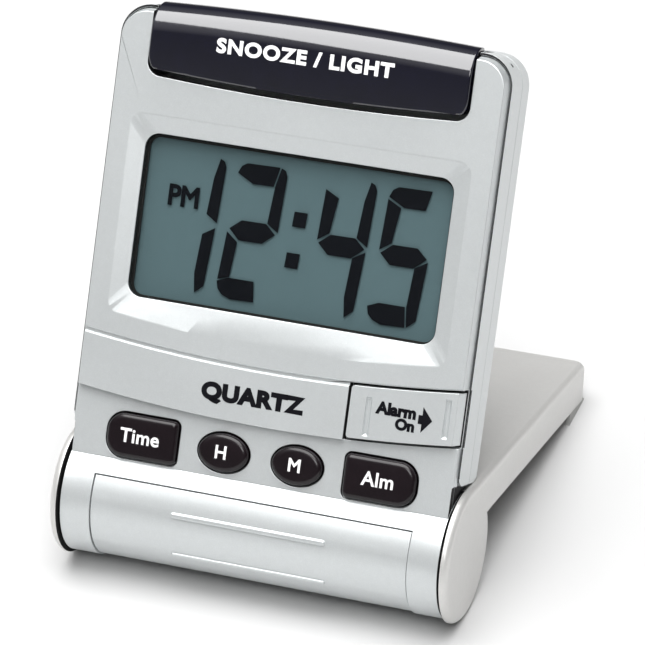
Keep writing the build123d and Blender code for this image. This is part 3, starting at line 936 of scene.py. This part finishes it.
@dataclass
class SnoozeBar:
    """Glossy bar over the top edge, with its printed words."""

    words: str = "SNOOZE / LIGHT"
    words_high: float = 2.4
    words_at: Point = (-0.6, 84.1)
    ink_lift: float = 0.03
    half: float = 29.9
    low: float = 77.25
    smile: float = 450.0
    corner: float = 2.8
    high_end: float = 90.15
    high_middle: float = 90.9
    face_z: float = 10.2
    crown_end: float = 1.05
    crown_middle: float = 1.35
    lip_drop: float = 0.75
    turn_y: float = 5.4
    turn_z: float = 5.3
    rear_z: float = 4.75
    edge: float = 0.35
    trim_height: float = 30.0
    across: int = 48
    flat_rows: int = 10
    turn_rows: int = 16

    def build(self, shop: PaintShop) -> None:
        """Models the bar and prints it."""
        bar = self.bar()
        words = Lettering(self.words, self.words_high, self.words_at, PRINT_DROP, weight=0.07,
                          width=1.14, gap=1.12).build("words")
        words.drop_on(bar, self.ink_lift)
        words.done("snooze_words", Body.SNOOZE, "navy_gloss", shop, finish="white_ink")
        bar.done("snooze_moulding", Body.SNOOZE, "navy_gloss", shop, ["snooze_bar"])

    def bar(self) -> Work:
        """Forms a grid over the bar's section, makes it solid and trims it to its outline."""
        rows = self.flat_rows + self.turn_rows
        clear_selection()
        bpy.ops.mesh.primitive_grid_add(x_subdivisions=self.across, y_subdivisions=rows, size=2.0)
        bar = Work(bpy.context.object)
        for vert in bar.obj.data.vertices:
            vert.co = self.formed(vert.co.x, (vert.co.y + 1) / 2 * rows)
        with bar.editing():
            bpy.ops.mesh.select_all(action="SELECT")
            bpy.ops.mesh.extrude_region_move()
            bpy.ops.transform.resize(value=(1, 1, 0), center_override=(0, 80, self.rear_z - 1))
            bpy.ops.mesh.select_all(action="SELECT")
            bpy.ops.mesh.normals_make_consistent(inside=False)
        trim = Work.sheet("trim", (-self.half, self.low), (self.half, 100), 0)
        with trim.editing():
            trim.pick("EDGE", lambda e: all(v.co.y < self.low + 0.1 for v in e.verts))
            bpy.ops.mesh.subdivide(number_cuts=self.across - 1)
        for vert in trim.obj.data.vertices:
            if vert.co.y < self.low + 0.1:
                vert.co.y = self.low + vert.co.x ** 2 / (2 * self.smile)
        trim.round_corners(lambda v: v.co.y < self.low + 2 and abs(v.co.x) > self.half - 0.01,
                           self.corner, 12)
        trim.raise_sheet(self.trim_height)
        with trim.editing():
            bpy.ops.mesh.select_all(action="SELECT")
            bpy.ops.transform.translate(value=(0, 0, self.rear_z))
        bar.cut(trim, operation="INTERSECT")
        return bar.bevelled(self.edge, 4, 38).smooth(35)

    def formed(self, across: float, row: float) -> Vector:
        """Point of the bar's outer skin.

        Args:
            across: Place along the bar, from -1 to 1.
            row: Place round the section, from the lip to the rear edge.

        Returns:
            The point in millimetres.
        """
        x = across * (self.half + 0.5)
        bend = across ** 2
        low = self.low - 0.8
        high = self.high_middle + (self.high_end - self.high_middle) * bend
        top = self.face_z + self.crown_middle + (self.crown_end - self.crown_middle) * bend
        turn = high - self.turn_y
        if row <= self.flat_rows:
            part = row / self.flat_rows
            drop = self.lip_drop * (1 - part) ** 2.2
            return Vector((x, low + (turn - low) * part, top - drop))
        angle = (row - self.flat_rows) / self.turn_rows * math.pi / 2
        return Vector((x, turn + self.turn_y * math.sin(angle),
                       top - self.turn_z * (1 - math.cos(angle))))


@dataclass
class Keypad:
    """Four glossy keys under the display."""

    base: float = 6.7
    top: float = 10.05
    edge: float = 1.0
    rise: float = 0.12
    oval_x: float = 7.0
    oval_y: float = 12.05
    oval_half: Point = (4.8, 3.5)
    end_y: float = 12.1
    end_low: Point = (15.85, 8.05)
    end_high: Point = (29.4, 16.1)
    outer_round: float = 3.3
    inner_round: float = 1.1
    ink_lift: float = 0.025
    word_size: float = 2.45
    letter_size: float = 2.3

    def build(self, shop: PaintShop) -> None:
        """Models the keys and prints them."""
        keys = (("time", -1, True, "Time", Body.TIME), ("hour", -1, False, "H", Body.HOUR),
                ("minute", 1, False, "M", Body.MINUTE), ("alarm", 1, True, "Alm", Body.ALARM))
        for name, side, is_end, word, body in keys:
            key = self.end_key(name, side) if is_end else self.oval_key(name, side)
            key.round_top(self.edge, 6).crown(self.rise).smooth(50)
            middle = (side * (self.end_low[0] + self.end_high[0]) / 2, self.end_y) if is_end else (
                side * self.oval_x, self.oval_y)
            size = self.word_size if len(word) > 1 else self.letter_size
            label = Lettering(word, size, (middle[0] - 0.2, middle[1] + 0.15), PRINT_DROP,
                              weight=0.03, width=1.0, gap=1.04).build(name + "_word")
            label.drop_on(key, self.ink_lift)
            label.done("word_" + name, body, "key_gloss", shop, finish="white_ink")
            key.done("key_cap_" + name, body, "key_gloss", shop, ["button_" + name])

    def oval_key(self, name: str, side: int) -> Work:
        """Oval key blank."""
        work = Work.disc(name, (side * self.oval_x, self.oval_y, self.base), *self.oval_half)
        return work.raise_sheet(self.top - self.base)

    def end_key(self, name: str, side: int) -> Work:
        """Blank of an end key: well rounded outside, nearly square inside."""
        x0, x1 = sorted((side * self.end_low[0], side * self.end_high[0]))
        work = Work.sheet(name, (x0, self.end_low[1]), (x1, self.end_high[1]), self.base)
        limit = (self.end_low[0] + self.end_high[0]) / 2
        work.round_corners(lambda v: side * v.co.x > limit, self.outer_round, 14)
        work.round_corners(lambda v: side * v.co.x < limit - 4, self.inner_round, 8)
        return work.raise_sheet(self.top - self.base)


@dataclass
class AlarmSwitch:
    """Slide that turns the alarm on, printed with its sense."""

    z: float = 10.25
    edge: float = 0.1
    ink: float = 0.025
    ink_lift: float = 0.005

    def build(self, shop: PaintShop) -> None:
        """Models the slide and prints it."""
        slide = Work.copy_of("alarm_slide", Local.CLOCK).simplified().bevelled(self.edge).smooth()
        slide.done("slide_moulding", Body.SLIDE, "silver_plastic", shop, ["alarm_slide"])
        words = (("Alarm", 2.0, (24.2, 25.1)), ("On", 1.85, (26.1, 22.75)))
        for text, size, middle in words:
            word = Lettering(text, size, middle, self.z + self.ink_lift, weight=0.085,
                             width=1.02, thickness=self.ink).build(text)
            word.done("word_" + text.lower() + "_switch", Body.SLIDE, "silver_plastic", shop,
                      finish="black_ink")
        arrow = [(28.4, 25.0), (29.1, 25.0), (29.1, 26.5), (31.0, 24.25), (29.1, 21.9),
                 (29.1, 23.4), (28.4, 23.4)]
        work = Work.outlines("arrow", [arrow], self.z + self.ink_lift).raise_sheet(self.ink)
        work.done("arrow_switch", Body.SLIDE, "silver_plastic", shop, finish="black_ink")


@dataclass
class FrontPrint:
    """Plain word printed on the band."""

    word: str = "QUARTZ"
    z: float = 10.205

    def build(self, shop: PaintShop) -> None:
        """Prints the word."""
        work = Lettering(self.word, 3.3, (-2.6, 22.6), self.z, weight=0.085, width=1.15, gap=1.05,
                         thickness=0.025).build("word")
        work.done("word_front", Body.CLOCK, "silver_plastic", shop, finish="black_ink")


@dataclass
class Stand:
    """Cover that folds round to carry the clock."""

    edge: float = 0.15
    sharp_angle: float = 35.0
    cheek_sides: Point = (36.3, 36.6)

    def build(self, shop: PaintShop) -> None:
        """Rounds the cover's edges and dresses it."""
        work = Work.copy_of("cover_shell", Local.COVER).simplified()
        work.bevelled(self.edge, angle=self.sharp_angle).smooth()
        # The cheeks' inner faces beside the barrel get a near-black painted shade.
        low, high = self.cheek_sides
        dark = work.faces(lambda c, n: abs(n.x) > 0.7 and low < abs(c.x) < high)
        work.done("cover_moulding", Body.COVER, "silver_cover", shop, ["cover_shell"],
                  local=Local.COVER)
        work.spot(dark, "painted_gap_shade", shop)


@dataclass
class Works:
    """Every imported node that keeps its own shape."""

    def build(self, shop: PaintShop) -> None:
        """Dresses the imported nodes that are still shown."""
        slots = {s["node"]: s["material_slot"] for s in frame["record"]["subparts"]}
        for node, obj in sorted(frame["nodes"].items()):
            if obj.hide_render:
                continue
            shop.coat(obj, slots[node])
            LOG.info("%s dressed as %s", node, slots[node])


# ---------------- studio
@dataclass
class Studio:
    """Floor, lights and camera."""

    azimuth: float = 21.14
    elevation: float = 33.17
    roll: float = -2.36
    distance: float = 0.7739
    target: tuple[float, float, float] = (0.00314, -0.00719, 0.04102)
    lens: float = 238.8
    room_light: float = 1.0
    room: Sequence[Point] = ((0.0, 0.25), (0.42, 0.13), (0.65, 0.5), (1.0, 0.75))
    room_right: tuple[float, float, float] = (0.1, 0.8, 0.3)
    room_rear: tuple[float, float, float] = (0.2, 0.8, 0.4)
    boxes: Sequence[tuple[str, tuple[float, float, float], tuple[float, float], float]] = (
        ("overhead", (-0.05, -0.02, 0.90), (0.95, 0.90), 16.0),
        ("front", (0.25, -0.60, 0.70), (0.4, 0.3), 2.5),
    )

    def build(self) -> None:
        """Sets everything up."""
        self.add_floor()
        self.add_lights()
        self.add_camera()

    def add_floor(self) -> None:
        """A wide pale floor."""
        clear_selection()
        bpy.ops.mesh.primitive_plane_add(size=6.0, location=(0, 0, 0))
        floor = bpy.context.object
        floor.name = "floor"
        plan = Plan("pale_floor")
        cloud = plan.noise(plan.place(), 8.0, 3.0)
        tone = plan.blend(cloud, (0.54, 0.54, 0.54), (0.57, 0.57, 0.57))
        skin = plan.node("ShaderNodeBsdfPrincipled", None, {
            "Base Color": tone, "Roughness": 0.8, "Specular IOR Level": 0.1})
        floor.data.materials.append(plan.finish(skin.outputs[0]))

    def add_lights(self) -> None:
        """Soft boxes and a room that is bright above and dim round the horizon."""
        plan = RoomPlan("room")
        where = plan.node("ShaderNodeSeparateXYZ", None, {
            0: plan.wire("ShaderNodeTexCoord", output="Generated")})
        stops = tuple((height, (light,) * 3) for height, light in self.room)
        height = plan.wire("ShaderNodeValToRGB", {"stops": stops}, {0: where.outputs["Z"]})
        right = self.falloff(plan, where.outputs["X"], self.room_right)
        rear = self.falloff(plan, where.outputs["Y"], self.room_rear)
        plan.light(height, right * rear * self.room_light)
        scene = bpy.context.scene
        scene.world = plan.world
        scene.view_settings.view_transform = "Standard"
        for name, place, size, power in self.boxes:
            self.soft_box(name, place, (0, 0, 0.04), size, power)

    @staticmethod
    def falloff(plan: Plan, way: bpy.types.NodeSocket, limits: Sequence[float]) -> Wire:
        """Light that fades from full to a share between two places along one direction."""
        low, high, share = limits
        return plan.wire("ShaderNodeMapRange", None, {
            "Value": way, "From Min": low, "From Max": high, "To Min": 1.0, "To Max": share})

    @staticmethod
    def soft_box(name: str, place: Sequence[float], aim: Sequence[float], size: Point,
                 power: float) -> None:
        """Adds one rectangular light."""
        clear_selection()
        bpy.ops.object.light_add(type="AREA", location=place)
        lamp = bpy.context.object
        lamp.name = name
        lamp.data.shape = "RECTANGLE"
        lamp.data.size, lamp.data.size_y = size
        lamp.data.energy = power
        lamp.rotation_euler = (Vector(place) - Vector(aim)).to_track_quat("Z", "Y").to_euler()

    def add_camera(self) -> None:
        """Long lens at the viewing angle."""
        az, el = math.radians(self.azimuth), math.radians(self.elevation)
        back = Vector((math.cos(el) * math.sin(az), -math.cos(el) * math.cos(az), math.sin(el)))
        data = bpy.data.cameras.new("view")
        data.lens = self.lens
        data.sensor_width = 36.0
        data.clip_end = 20.0
        camera = bpy.data.objects.new("view", data)
        bpy.context.scene.collection.objects.link(camera)
        turn = back.to_track_quat("Z", "Y") @ Matrix.Rotation(
            math.radians(self.roll), 3, "Z").to_quaternion()
        camera.location = Vector(self.target) + back * self.distance
        camera.rotation_euler = turn.to_euler()
        bpy.context.scene.camera = camera


def main() -> None:
    """Builds the clock piece by piece."""
    logging.basicConfig(level=logging.INFO, format="%(message)s")
    shop = PaintShop()
    for assembly in (Casing(), Display(), SnoozeBar(), Keypad(), AlarmSwitch(), FrontPrint(),
                     Stand(), Works()):
        assembly.build(shop)
        LOG.info("%s finished", type(assembly).__name__)
    Studio().build()


if __name__ == "__main__":
    main()
